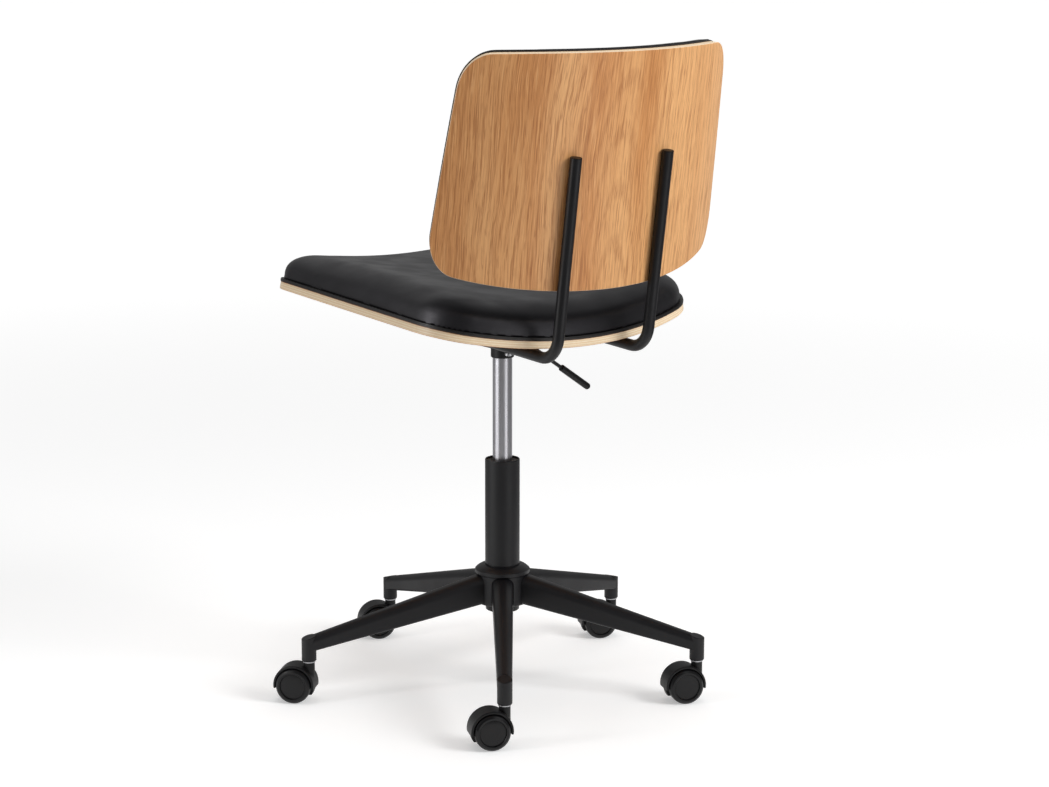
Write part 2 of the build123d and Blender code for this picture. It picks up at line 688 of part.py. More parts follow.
def seat_shell():
    """Bent plywood seat with sunk holes for the tee nuts."""
    body = sheet(seat_block(), SEAT_BEND, 0, SEAT_PLY)
    body = eased_rim(body, SEAT_BEND, 0)
    for x, y in plate_screws() + tube_screws():
        z = shell_top(x) - TEE_SINK
        body -= drum(TEE_FLANGE + FIT, z, z + 20, x, y)
        body -= drum(TEE_R + FIT, -20, 40, x, y)
    return SEAT * body


def seat_board():
    """Thin board under the cushion, its edge seen as a dark lip."""
    body = sheet(seat_block(-SEAT_OVER), SEAT_BEND, SEAT_PLY + FIT, SEAT_PLY + SEAT_LIP)
    return SEAT * body


def seat_cushion():
    low = SEAT_PLY + SEAT_LIP + FIT
    return SEAT * pad(seat_block(SEAT_INSET, SEAT_DRAW), SEAT_BEND, low, SEAT_PAD, SEAT_CROWN,
                      SEAT_ROUND)


def back_shell():
    """Bent plywood back with sunk holes for its screws."""
    body = sheet(back_block(), BACK_BEND, 0, BACK_PLY)
    body = eased_rim(body, BACK_BEND, 0)
    for x, y in back_screws():
        z = back_head(x)
        body -= drum(HEAD_R + 1, z, z + 40, x, y)
        body -= drum(SCREW_R + LOOSE, -20, 40, x, y)
    return BACK * body


def back_head(x):
    """Height of the screw heads' seats in the back shell."""
    return sheet_z(BACK_BEND, BACK_PLY, abs(x) - HEAD_R - 1) - HEAD_T - 0.6


def back_bolts():
    """Screws from the front of the back shell into the tubes."""
    for x, y in back_screws():
        z = back_head(x) + FIT
        yield BACK * Pos(x, y, 0) * Rot(180, 0, 0) * screw(-z, -(BACK_TUBE - 2), 0, 0)


def back_inserts():
    """Threaded inserts in the tube walls."""
    for x, y in back_screws():
        z = BACK_TUBE + TUBE_R - 0.6
        body = drum(INSERT_R, z - INSERT_LONG, z)
        yield BACK * Pos(x, y, 0) * (body - drum(SCREW_R + FIT, z - 20, z + 1))


def back_board():
    body = sheet(back_block(-BACK_OVER), BACK_BEND, BACK_PLY + FIT, BACK_PLY + BACK_LIP)
    return BACK * body


def back_cushion():
    low = BACK_PLY + BACK_LIP + FIT
    return BACK * pad(back_block(-BACK_BULGE, BACK_DRAW), BACK_BEND, low, BACK_PAD, BACK_CROWN,
                      BACK_ROUND)


def build_base():
    save("base_hub", hub())
    for k in range(LEGS):
        save("base_leg_%d" % (k + 1), Rot(0, 0, leg_angle(k)) * leg())
    turns = [Rot(0, 0, leg_angle(k)) for k in range(LEGS)]
    save("leg_sockets", group(t * leg_socket() for t in turns))
    save("socket_sleeves", group(t * socket_sleeve() for t in turns))
    save("column_tube", column())
    save("column_bush", bush())
    save("thrust_bearing", group(bearing()))


def build_lift():
    save("piston_rod", piston_rod())
    save("rod_clip", rod_clip())
    save("bearing_cap", bearing_cap())
    save("bump_stop", bump_stop())
    save("gas_cylinder", gas_cylinder())
    save("release_pin", release_pin())


def build_casters():
    for k in range(LEGS):
        place, name = caster_place(k), "caster_%d_" % (k + 1)
        save(name + "housing", place * caster_housing())
        save(name + "steel", group(place * s for s in caster_steel()))
        save(name + "wheel_a", place * wheel(1))
        save(name + "wheel_b", place * wheel(-1))


def build_seat():
    save("cone_socket", cone_socket())
    save("lift_bracket", lift_bracket())
    save("frame_plate", frame_plate())
    save("plate_bolts", group(plate_bolts()))
    save("tube_bolts", group(tube_bolts()))
    save("tee_nuts", group(tee_nuts()))
    save("tube_saddles", group(saddles()))
    save("back_tube_left", back_tube(TUBE_X))
    save("back_tube_right", back_tube(-TUBE_X))
    save("tube_end_plugs", group(end_plugs()))
    save("seat_shell", seat_shell())
    save("seat_board", seat_board())
    save("seat_cushion", seat_cushion())


def build_back():
    save("back_shell", back_shell())
    save("back_board", back_board())
    save("back_cushion", back_cushion())
    save("back_bolts", group(back_bolts()))
    save("back_inserts", group(back_inserts()))


def build_lever():
    save("pivot_pin", pivot_pin())
    save("lever_rod", lever_rod())
    save("lever_grip", lever_grip())


build_base()
build_lift()
build_casters()
build_seat()
build_back()
build_lever()
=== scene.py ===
"""Looks of a swivel office chair: oak-backed plywood shells, black upholstery, black steel base."""
import json
import math

import bmesh
import bpy
import numpy as np
from mathutils import Matrix, Vector
from mathutils.bvhtree import BVHTree
from mathutils.kdtree import KDTree


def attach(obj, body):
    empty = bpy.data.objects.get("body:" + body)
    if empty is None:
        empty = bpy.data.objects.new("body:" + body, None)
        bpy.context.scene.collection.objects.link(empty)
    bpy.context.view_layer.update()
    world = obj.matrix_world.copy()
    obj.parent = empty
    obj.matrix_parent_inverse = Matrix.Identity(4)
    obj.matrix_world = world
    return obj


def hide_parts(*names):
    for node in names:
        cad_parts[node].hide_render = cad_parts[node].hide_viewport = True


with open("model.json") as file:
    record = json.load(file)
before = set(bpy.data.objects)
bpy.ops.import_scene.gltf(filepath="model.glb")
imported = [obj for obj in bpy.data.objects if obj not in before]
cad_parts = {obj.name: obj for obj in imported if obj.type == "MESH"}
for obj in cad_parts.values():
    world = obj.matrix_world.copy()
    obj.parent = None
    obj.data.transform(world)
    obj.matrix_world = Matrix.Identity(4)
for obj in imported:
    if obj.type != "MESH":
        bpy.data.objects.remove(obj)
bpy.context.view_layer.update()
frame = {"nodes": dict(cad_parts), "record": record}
NODES = frame["nodes"]

# Places of the two bent shells, in metres and degrees
SEAT_Z = 0.534
SEAT_TILT = 2.29
SEAT_BEND = 1.0
SEAT_PLY = 0.011
SEAT_LIP = 0.0045
BACK_Y, BACK_Z = 0.257, 0.7355
BACK_TILT = 8.4
BACK_BEND = 0.390
BACK_PLY = 0.011
BACK_LIP = 0.004
BINDING_OUT = 0.0004   # the binding's swell past its board

# Upholstery, in metres
PAD_VOXEL = 0.005
PAD_SHRINK = 0.001     # the pads start this much smaller than their solids
PAD_SWELL = 0.0042     # the most that the cloth moves a point out
PAD_PRESSURE = 4.0
FOOT_STEP = 0.0005     # spacing of the points along a pad's foot
FOOT_OUT = 0.0006      # the cover's spread where it meets the board
FOOT_HELD, FOOT_FREE = 0.001, 0.005    # held up to the first height, then let go over the second
RIM_EVENING, SWELL_EVENING, COVER_EVENING = 6, 12, 5     # rounds of smoothing
SEAT_ROLL, BACK_ROLL = 0.042, 0        # width of the rolled shoulder, none on the back
ROLL_POWER, ROLL_BELLY = 2.3, 0.004    # squareness of the roll, and its swell at half height
CLOTH_FRAMES = 20
CLOTH = {
    "quality": 5, "mass": 0.3, "tension_stiffness": 25, "compression_stiffness": 25,
    "tension_damping": 20, "compression_damping": 20, "shear_stiffness": 12, "shear_damping": 10,
    "bending_stiffness": 6, "bending_damping": 2, "air_damping": 4, "use_pressure": True,
    "vertex_group_mass": "held"}

# Reading the solids' meshes
JOINED = 1e-5          # points closer than this, in metres, are one
DOWNWARD = -0.7        # faces whose normals dip below this belong to a pad's underside
ON_FACE = 2e-4         # points this near to a board's face lie on it
SHARP = 0.6            # least angle between the faces at a board's rim, in radians


class Shell:
    """Lie of a bent shell: heights over its underside, the way up from it, and its flat sheet."""

    def __init__(self, origin, turn, bend):
        self.place = Matrix.Translation(origin) @ Matrix.Rotation(math.radians(turn), 4, "X")
        self.lie = self.place.inverted()
        self.bend = bend

    def height(self, point):
        p = self.lie @ point
        return self.bend - math.hypot(p.x, self.bend - p.z)

    def up(self, point):
        p = self.lie @ point
        return (self.place.to_3x3() @ Vector((-p.x, 0, self.bend - p.z))).normalized()

    def flattened(self, point):
        """Point as it lies when the shell is rolled out flat, its height as z."""
        p = self.lie @ point
        rest = self.bend - p.z
        return Vector((math.atan2(p.x, rest) * self.bend, p.y, self.bend - math.hypot(p.x, rest)))

    def bent(self, flat):
        """Point of the flat sheet, back in its place."""
        turn = flat.x / self.bend
        far = self.bend - flat.z
        return self.place @ Vector((math.sin(turn) * far, flat.y, self.bend - math.cos(turn) * far))


SEAT = Shell((0, 0, SEAT_Z), -SEAT_TILT, SEAT_BEND)
BACK = Shell((0, BACK_Y, BACK_Z), 90 - BACK_TILT, BACK_BEND)

# The photograph's frame and the camera that was fitted to it
PHOTO_W, PHOTO_H = 1049, 787
FOCAL_PX = 2622
CENTRE_PX = (502.4, 422.8)
CAMERA_AT = Vector((2.1896, 2.9451, 1.1662))
AIM_AT = Vector((0, 0, 0.3855))
SENSOR = 36.0
CAMERA_REACH = 200

# Studio: light from the room on matt surfaces, lift of the floor to white, grey cards
ROOM_BRIGHT, ROOM_DARK, DARK_SIDE = 0.62, 0.12, -40
FLOOR_SIZE = 160
FLOOR_NEAR, FLOOR_FAR = 0.8, 5.0
FLOOR_LIFT, FAR_LIFT = 0.36, 0.72
CARD_AWAY, CARD_LOW, CARD_HIGH = 0.85, 0.002, 1.8
NEAR_TONE, FAR_TONE, ROOF_TONE = 0.20, 0.36, 0.10
CARDS = (("card_by_camera", -44, 30, NEAR_TONE), ("card_right", 60, 120, NEAR_TONE),
         ("card_left", -120, -90, NEAR_TONE), ("card_far", 120, 240, FAR_TONE))
LIT = Vector((0, 0.05, 0.6))     # the softboxes point here


# Colours

def srgb(r, g, b):
    """Colour as read off a screen, made linear."""
    def linear(c):
        c /= 255
        return c / 12.92 if c <= 0.04045 else ((c + 0.055) / 1.055) ** 2.4
    return linear(r), linear(g), linear(b), 1.0


# Shader node helpers

class Graph:
    """Short way to place and link shader nodes."""

    def __init__(self, tree):
        self.tree = tree
        self.nodes = tree.nodes
        self.links = tree.links

    def add(self, kind, **settings):
        node = self.nodes.new(kind)
        for name, value in settings.items():
            setattr(node, name, value)
        return node

    def put(self, value, socket):
        """Link a socket, or set a plain value."""
        if isinstance(value, bpy.types.NodeSocket):
            self.links.new(value, socket)
        else:
            socket.default_value = value

    def math(self, operation, a, b=0.0, c=0.0, clamp=False):
        node = self.add("ShaderNodeMath", operation=operation, use_clamp=clamp)
        for value, socket in zip((a, b, c), node.inputs):
            self.put(value, socket)
        return node.outputs[0]

    def combine(self, x, y, z=0.0):
        node = self.add("ShaderNodeCombineXYZ")
        for value, socket in zip((x, y, z), node.inputs):
            self.put(value, socket)
        return node.outputs[0]

    def noise(self, vector, scale=1.0, detail=2.0, rough=0.5):
        node = self.add("ShaderNodeTexNoise")
        self.put(vector, node.inputs["Vector"])
        node.inputs["Scale"].default_value = scale
        node.inputs["Detail"].default_value = detail
        node.inputs["Roughness"].default_value = rough
        return node.outputs["Fac"]

    def spread(self, value, low, high, out_low=0.0, out_high=1.0):
        """Smooth step of a value from one range to another."""
        node = self.add("ShaderNodeMapRange", interpolation_type="SMOOTHSTEP")
        self.put(value, node.inputs["Value"])
        for name, number in (("From Min", low), ("From Max", high),
                             ("To Min", out_low), ("To Max", out_high)):
            node.inputs[name].default_value = number
        return node.outputs["Result"]

    def mix(self, factor, a, b):
        node = self.add("ShaderNodeMix", data_type="RGBA")
        colours = [s for s in node.inputs if s.type == "RGBA"]
        self.put(factor, node.inputs["Factor"])
        self.put(a, colours[0])
        self.put(b, colours[1])
        return [s for s in node.outputs if s.type == "RGBA"][0]


def new_group(name, inputs, outputs):
    """Empty shader node group with named sockets; inputs hold their defaults."""
    tree = bpy.data.node_groups.new(name, "ShaderNodeTree")
    for socket, kind, default in inputs:
        made = tree.interface.new_socket(socket, in_out="INPUT", socket_type=kind)
        if default is not None:
            made.default_value = default
    for socket, kind in outputs:
        tree.interface.new_socket(socket, in_out="OUTPUT", socket_type=kind)
    graph = Graph(tree)
    return graph, graph.add("NodeGroupInput").outputs, graph.add("NodeGroupOutput").inputs


FLOAT, VECTOR, COLOUR = "NodeSocketFloat", "NodeSocketVector", "NodeSocketColor"


def bent_sheet_group():
    """Where a point lies in a bent shell: round the bend, along it and through its thickness."""
    g, given, out = new_group(
        "bent_sheet", [("Place", VECTOR, None), ("Bend", FLOAT, 1.0)],
        [("Across", FLOAT), ("Along", FLOAT), ("Depth", FLOAT)])
    parts = g.add("ShaderNodeSeparateXYZ")
    g.put(given["Place"], parts.inputs[0])
    rest = g.math("SUBTRACT", given["Bend"], parts.outputs["Z"])
    turn = g.math("ARCTAN2", parts.outputs["X"], rest)
    g.put(g.math("MULTIPLY", turn, given["Bend"]), out["Across"])
    g.put(parts.outputs["Y"], out["Along"])
    square = g.math("ADD", g.math("MULTIPLY", parts.outputs["X"], parts.outputs["X"]),
                    g.math("MULTIPLY", rest, rest))
    g.put(g.math("SUBTRACT", given["Bend"], g.math("SQRT", square)), out["Depth"])
    return g.tree


def veneer_group():
    """Flat-cut oak: growth rings drawn out into arches, fine strokes and short dark pores, with
    painted light making it paler toward one side.
    """
    g, given, out = new_group(
        "oak_veneer",
        [("Across", FLOAT, 0.0), ("Along", FLOAT, 0.0),
         ("Light", COLOUR, srgb(233, 178, 120)), ("Middle", COLOUR, srgb(205, 142, 85)),
         ("Dark", COLOUR, srgb(156, 95, 49))],
        [("Color", COLOUR), ("Height", FLOAT), ("Roughness", FLOAT)])
    across, along = given["Across"], given["Along"]

    def stretched(place, wide, long, seed):
        return g.combine(g.math("MULTIPLY", place, wide), g.math("MULTIPLY", along, long), seed)

    sway = g.math("SUBTRACT", g.noise(stretched(across, 6.0, 2.8, 0.3)), 0.5)
    ripple = g.math("SUBTRACT", g.noise(stretched(across, 48.0, 13.0, 5.5)), 0.5)
    waved = g.math("MULTIPLY_ADD", sway, 0.030, across)
    waved = g.math("MULTIPLY_ADD", ripple, 0.0045, waved)

    # Rings of a leaning trunk cut by the knife at some distance from its heart
    deep = g.math("MULTIPLY_ADD", along, 0.14, 0.062)
    ring = g.math("SQRT", g.math("ADD", g.math("MULTIPLY", waved, waved),
                                 g.math("MULTIPLY", deep, deep)))
    drift = g.noise(stretched(across, 9.0, 1.8, 9.1), 1.0, 1.0)
    phase = g.math("MULTIPLY_ADD", ring, 620.0, g.math("MULTIPLY", drift, 13.0))
    late = g.spread(g.math("SINE", phase), 0.1, 1.0)
    broad = g.noise(stretched(waved, 13.0, 1.5, 4.1), 1.0, 1.0)
    lines = g.noise(stretched(waved, 340.0, 5.0, 1.9), 1.0, 2.0, 0.6)
    strokes = g.noise(stretched(waved, 600.0, 16.0, 6.2), 1.0, 2.0, 0.6)
    pores = g.noise(stretched(waved, 900.0, 52.0, 2.6), 1.0, 1.0, 0.5)

    # Painted light: the sheet grows paler toward the -x side, where the key light falls, on top of
    # its broad random tone
    broad_tone_and_painted_light = g.math("MULTIPLY_ADD", across, -0.55, broad)
    colour = g.mix(g.spread(broad_tone_and_painted_light, 0.31, 0.60), given["Middle"], given["Light"])
    colour = g.mix(g.math("MULTIPLY", late, 0.19), colour, given["Dark"])
    colour = g.mix(g.spread(lines, 0.50, 0.72, 0.0, 0.44), colour, given["Dark"])
    colour = g.mix(g.spread(strokes, 0.30, 0.47, 0.55, 0.0), colour, given["Light"])
    colour = g.mix(g.spread(strokes, 0.52, 0.66, 0.0, 0.58), colour, given["Dark"])
    dashes = g.math("MULTIPLY", g.spread(pores, 0.52, 0.66),
                    g.math("MULTIPLY_ADD", late, 0.6, 0.4))
    g.put(g.mix(g.math("MULTIPLY", dashes, 0.5), colour, given["Dark"]), out["Color"])
    g.put(g.math("SUBTRACT", 1.0, dashes), out["Height"])
    g.put(g.spread(strokes, 0.3, 0.7, 0.33, 0.44), out["Roughness"])
    return g.tree


def ply_edge_group():
    """Sanded edge of thin layers, alternating along and across the grain, with glue lines."""
    g, given, out = new_group(
        "ply_edge",
        [("Depth", FLOAT, 0.0), ("Place", VECTOR, None), ("Layer", FLOAT, 0.00157),
         ("Pale", COLOUR, srgb(248, 230, 202)), ("Warm", COLOUR, srgb(236, 208, 170)),
         ("Glue", COLOUR, srgb(196, 154, 112))],
        [("Color", COLOUR)])
    count = g.math("DIVIDE", given["Depth"], given["Layer"])
    odd = g.math("GREATER_THAN", g.math("FRACT", g.math("MULTIPLY", count, 0.5)), 0.5)
    inside = g.math("ABSOLUTE", g.math("SUBTRACT", g.math("FRACT", count), 0.5))
    glue = g.spread(inside, 0.42, 0.49)
    mottle = g.noise(given["Place"], 260.0, 3.0)
    colour = g.mix(odd, given["Pale"], given["Warm"])
    colour = g.mix(g.spread(mottle, 0.35, 0.7, 0.0, 0.4), colour, given["Warm"])
    g.put(g.mix(g.math("MULTIPLY", glue, 0.5), colour, given["Glue"]), out["Color"])
    return g.tree


def surface_group():
    """Fine texture of a coated or moulded surface, and the uneven shine that handling leaves."""
    g, given, out = new_group(
        "surface_texture",
        [("Place", VECTOR, None), ("Grain", FLOAT, 1500.0), ("Cloud", FLOAT, 9.0),
         ("Dull", FLOAT, 0.5), ("Shiny", FLOAT, 0.4)],
        [("Height", FLOAT), ("Roughness", FLOAT)])
    grain = g.add("ShaderNodeTexNoise")
    g.put(given["Place"], grain.inputs["Vector"])
    g.put(given["Grain"], grain.inputs["Scale"])
    grain.inputs["Detail"].default_value = 2.0
    g.put(grain.outputs["Fac"], out["Height"])
    cloud = g.add("ShaderNodeTexNoise")
    g.put(given["Place"], cloud.inputs["Vector"])
    g.put(given["Cloud"], cloud.inputs["Scale"])
    cloud.inputs["Detail"].default_value = 4.0
    wear = g.spread(cloud.outputs["Fac"], 0.35, 0.65)
    span = g.math("SUBTRACT", given["Dull"], given["Shiny"])
    g.put(g.math("MULTIPLY_ADD", wear, span, given["Shiny"]), out["Roughness"])
    return g.tree


def hide_group():
    """Grain of smooth faux leather: small rounded cells with fine creases between them."""
    g, given, out = new_group(
        "hide_grain", [("Place", VECTOR, None), ("Cells", FLOAT, 900.0)],
        [("Height", FLOAT), ("Roughness", FLOAT)])
    cells = g.add("ShaderNodeTexVoronoi", feature="DISTANCE_TO_EDGE")
    g.put(given["Place"], cells.inputs["Vector"])
    g.put(given["Cells"], cells.inputs["Scale"])
    crease = g.spread(cells.outputs["Distance"], 0.0, 0.16)
    swell = g.noise(given["Place"], 24.0, 2.0)
    g.put(g.math("ADD", g.math("MULTIPLY", crease, 0.6), g.math("MULTIPLY", swell, 0.4)),
          out["Height"])
    g.put(g.spread(swell, 0.3, 0.7, 0.34, 0.43), out["Roughness"])
    return g.tree


GROUPS = {"sheet": bent_sheet_group(), "veneer": veneer_group(), "ply": ply_edge_group(),
          "surface": surface_group(), "hide": hide_group()}


# Materials

def new_material(name, **shader):
    """Material with a Principled shader set to plain values."""
    material = bpy.data.materials.new(name)
    material.use_nodes = True
    graph = Graph(material.node_tree)
    principled = next(n for n in graph.nodes if n.type == "BSDF_PRINCIPLED")
    for socket, value in shader.items():
        principled.inputs[socket.replace("_", " ")].default_value = value
    place = graph.add("ShaderNodeTexCoord").outputs["Object"]
    return material, graph, principled, place


def use_group(graph, name, **inputs):
    """Place a shared group, with values or links for its inputs."""
    node = graph.add("ShaderNodeGroup", node_tree=GROUPS[name])
    for socket, value in inputs.items():
        graph.put(value, node.inputs[socket])
    return node.outputs


def bump(graph, principled, height, strength, distance):
    """Fine relief from a height; distance is in metres."""
    node = graph.add("ShaderNodeBump")
    node.inputs["Strength"].default_value = strength
    node.inputs["Distance"].default_value = distance
    graph.put(height, node.inputs["Height"])
    graph.put(node.outputs["Normal"], principled.inputs["Normal"])


def textured(name, colour, grain, dull, shiny, strength=0.12, distance=0.0002, cloud=9.0, **shader):
    """Coated metal or moulded plastic."""
    material, graph, principled, place = new_material(name, Base_Color=colour, **shader)
    look = use_group(graph, "surface", Place=place, Grain=grain, Cloud=cloud, Dull=dull, Shiny=shiny)
    graph.put(look["Roughness"], principled.inputs["Roughness"])
    bump(graph, principled, look["Height"], strength, distance)
    return material


VENEER, VENEER_FADE = 0.0006, 0.0003    # thickness of the face veneer, and its blend to the edge


def veneered(name, shell, ply):
    """Oak veneer on both faces of a bent shell, with its layers on the edge."""
    material, graph, principled, place = new_material(name, Specular_IOR_Level=0.5)
    mapping = graph.add("ShaderNodeMapping", vector_type="POINT")
    mapping.inputs["Location"].default_value = shell.lie.to_translation()
    mapping.inputs["Rotation"].default_value = shell.lie.to_euler()
    graph.put(place, mapping.inputs["Vector"])
    where = use_group(graph, "sheet", Place=mapping.outputs[0], Bend=shell.bend)
    oak = use_group(graph, "veneer", Across=where["Across"], Along=where["Along"])
    edge = use_group(graph, "ply", Depth=where["Depth"], Place=place)
    under = graph.spread(where["Depth"], VENEER, VENEER + VENEER_FADE)
    over = graph.spread(where["Depth"], ply - VENEER - VENEER_FADE, ply - VENEER, 1.0, 0.0)
    on_edge = graph.math("MULTIPLY", under, over)
    graph.put(graph.mix(on_edge, oak["Color"], edge["Color"]), principled.inputs["Base Color"])
    graph.put(oak["Roughness"], principled.inputs["Roughness"])
    bump(graph, principled, oak["Height"], 0.10, 0.0002)
    return material


HIDE_SHEEN = (0.96, 0.93, 1.0, 1)


def leather(name, colour):
    """Smooth faux leather with a faintly cool shine."""
    material, graph, principled, place = new_material(
        name, Base_Color=colour, Specular_IOR_Level=0.5, Specular_Tint=HIDE_SHEEN)
    look = use_group(graph, "hide", Place=place, Cells=850.0)
    graph.put(look["Roughness"], principled.inputs["Roughness"])
    bump(graph, principled, look["Height"], 0.10, 0.00025)
    return material


def brushed(name, colour, dull, shiny, long):
    """Bare steel with fine marks round or along it."""
    material, graph, principled, place = new_material(name, Base_Color=colour, Metallic=1.0)
    mapping = graph.add("ShaderNodeMapping")
    mapping.inputs["Scale"].default_value = (1.0, 1.0, long)
    graph.put(place, mapping.inputs["Vector"])
    look = use_group(graph, "surface", Place=mapping.outputs[0], Grain=1800.0, Cloud=220.0,
                     Dull=dull, Shiny=shiny)
    graph.put(look["Roughness"], principled.inputs["Roughness"])
    bump(graph, principled, look["Height"], 0.05, 0.0001)
    return material


STEEL_BLACK = (0.0060, 0.0058, 0.0070, 1)
PLASTIC_BLACK = (0.0050, 0.0049, 0.0055, 1)
LOOKS = {
    "black_steel": textured("powder_coat", STEEL_BLACK, 1900.0, 0.50, 0.40, 0.16,
                            Specular_IOR_Level=0.36),
    "silver_steel": brushed("lift_steel", (0.56, 0.555, 0.585, 1), 0.34, 0.26, 0.03),
    "bright_steel": brushed("zinc_plate", (0.50, 0.50, 0.52, 1), 0.40, 0.30, 1.0),
    "black_plastic": textured("moulded_plastic", PLASTIC_BLACK, 2600.0, 0.50, 0.40, 0.20,
                              Specular_IOR_Level=0.30),
    "wheel_plastic": textured("wheel_plastic", PLASTIC_BLACK, 900.0, 0.32, 0.22, 0.05,
                              Specular_IOR_Level=0.30),
    "bush_plastic": textured("bush_plastic", (0.02, 0.02, 0.021, 1), 1200.0, 0.5, 0.4, 0.08),
    "rubber": textured("bump_rubber", (0.012, 0.012, 0.012, 1), 1200.0, 0.75, 0.65, 0.1),
    "dark_board": textured("board_edge", (0.010, 0.0085, 0.008, 1), 1500.0, 0.46, 0.36, 0.1),
    "black_leather": leather("faux_leather", (0.0064, 0.0062, 0.0070, 1)),
    "oak_ply": veneered("oak_back", BACK, BACK_PLY),
    "birch_ply": veneered("oak_seat", SEAT, SEAT_PLY),
}


def dress_nodes():
    """Give each solid the look of its material slot."""
    slots = {s["node"]: s["material_slot"] for s in frame["record"]["subparts"]}
    for name, node in NODES.items():
        node.data.materials.clear()
        node.data.materials.append(LOOKS[slots[name]])


# Upholstery

def copy_of(node, name):
    """Free copy of a solid's mesh with its doubled points joined."""
    mesh = NODES[node].data.copy()
    work = bmesh.new()
    work.from_mesh(mesh)
    bmesh.ops.remove_doubles(work, verts=work.verts, dist=JOINED)
    work.to_mesh(mesh)
    work.free()
    piece = bpy.data.objects.new(name, mesh)
    bpy.context.collection.objects.link(piece)
    return piece


def make_active(piece):
    """Select one piece alone, as Blender's operators need it."""
    bpy.ops.object.select_all(action="DESELECT")
    piece.select_set(True)
    bpy.context.view_layer.objects.active = piece


def apply_modifiers(piece):
    """Make the modifiers' results the piece's own mesh."""
    make_active(piece)
    for modifier in list(piece.modifiers):
        bpy.ops.object.modifier_apply(modifier=modifier.name)


def remesh(piece, voxel):
    """Even grid of faces over a piece."""
    modifier = piece.modifiers.new("remesh", "REMESH")
    modifier.mode = "VOXEL"
    modifier.voxel_size = voxel
    apply_modifiers(piece)


class Foot:
    """Line round a pad's underside, on the flat sheet, with the way in from it."""

    def __init__(self, work, middle):
        self.spots, self.inward = [], []
        for e in work.edges:
            downs = [f.normal.z < DOWNWARD for f in e.link_faces]
            if any(downs) and not all(downs):
                a, b = (v.co for v in e.verts)
                across = Vector((a.y - b.y, b.x - a.x, 0)).normalized()
                way = across if across.dot(middle - a) > 0 else -across
                steps = math.ceil((b - a).length / FOOT_STEP)
                self.spots += [a.lerp(b, k / steps) for k in range(steps)]
                self.inward += [way] * steps
        self.tree = KDTree(len(self.spots))
        for k, spot in enumerate(self.spots):
            self.tree.insert((spot.x, spot.y, 0), k)
        self.tree.balance()

    def nearest(self, point):
        k = self.tree.find((point.x, point.y, 0))[1]
        return self.spots[k], self.inward[k]


def rolled(point, foot, skin, roll):
    """Point of a pad's side or shoulder, moved onto an oval that falls from its top to its foot."""
    spot, way = foot.nearest(point)
    deep = (point - spot).dot(way)
    if deep >= roll:
        return point
    top = skin.ray_cast(spot + way * roll + Vector((0, 0, 1)), Vector((0, 0, -1)))[0].z - spot.z
    aside, rise = roll - deep, point.z - spot.z
    reach = (aside / roll) ** ROLL_POWER + (max(rise, 0) / top) ** ROLL_POWER
    share = reach ** (-1 / ROLL_POWER)
    rise *= share
    belly = ROLL_BELLY * 4 * (rise / top) * (1 - rise / top)
    moved = point + way * (aside * (1 - share) - belly)
    moved.z = spot.z + rise
    return moved


def lay_out(piece, shell, roll):
    """Even mesh on a pad's solid, made on the flat sheet so that its rows follow the foot.

    Gives the points of the underside, and the way out of the pad at each of the others."""
    work = bmesh.new()
    work.from_mesh(piece.data)
    for v in work.verts:
        v.co = shell.flattened(v.co)
    work.normal_update()
    work.to_mesh(piece.data)
    skin = BVHTree.FromBMesh(work)
    foot = Foot(work, sum((v.co for v in work.verts), Vector()) / len(work.verts))
    work.free()
    remesh(piece, PAD_VOXEL)
    points = piece.data.vertices
    lowest = min(v.co.z for v in points)
    under = {v.index for v in points if v.co.z < lowest + PAD_VOXEL * 0.6}
    rim = set()
    for face in piece.data.polygons:
        inside = under.intersection(face.vertices)
        if len(inside) < len(face.vertices):
            rim |= inside
    beside = {k: [k] for k in rim}
    for e in piece.data.edges:
        a, b = e.vertices
        if a in rim and b in rim:
            beside[a].append(b)
            beside[b].append(a)
    for _ in range(RIM_EVENING):
        for k, near in beside.items():
            points[k].co = sum((points[n].co for n in near), Vector()) / len(near)
    for v in points:
        if v.index in rim:
            v.co = foot.nearest(v.co)[0]
        else:
            v.co = skin.find_nearest(v.co)[0]
            if roll and v.index not in under:
                v.co = rolled(v.co, foot, skin, roll)
    piece.data.update()
    outward = {v.index: v.normal.copy() for v in points if v.index not in under}
    outward.update({k: -foot.nearest(points[k].co)[1] for k in rim})
    flat = {k: points[k].co.copy() for k in outward}
    for v in points:
        v.co = shell.bent(v.co)
    for k, way in outward.items():
        outward[k] = (shell.bent(flat[k] + way * FOOT_STEP) - points[k].co).normalized()
    crease = piece.data.attributes.new("crease_edge", "FLOAT", "EDGE")
    crease.data.foreach_set("value", [float(rim.issuperset(e.vertices)) for e in piece.data.edges])
    return under, outward


def hold(piece, shell, under, outward):
    """Draw a pad in a little, and give its foot and underside a group that holds them."""
    held = piece.vertex_groups.new(name="held")
    points = piece.data.vertices
    base = min(shell.height(v.co) for v in points)
    for v in points:
        rise = (shell.height(v.co) - base - FOOT_HELD) / FOOT_FREE
        held.add([v.index], 1.0 if v.index in under else min(1.0, max(0.0, 1.0 - rise)), "REPLACE")
    for k, way in outward.items():
        points[k].co += way * (FOOT_OUT if k in under else -PAD_SHRINK)


def places(mesh):
    """Points of a mesh as rows of x, y and z."""
    flat = np.empty(len(mesh.vertices) * 3)
    mesh.vertices.foreach_get("co", flat)
    return flat.reshape(-1, 3)


def evened(amounts, mesh, times):
    """Amounts at a mesh's points, each drawn toward the mean of its neighbours'."""
    ends = np.empty(len(mesh.edges) * 2, dtype=int)
    mesh.edges.foreach_get("vertices", ends)
    a, b = ends.reshape(-1, 2).T
    total = len(amounts)
    count = np.bincount(ends, minlength=total)
    for _ in range(times):
        near = np.bincount(a, amounts[b], total) + np.bincount(b, amounts[a], total)
        amounts = (amounts + near / count) / 2
    return amounts


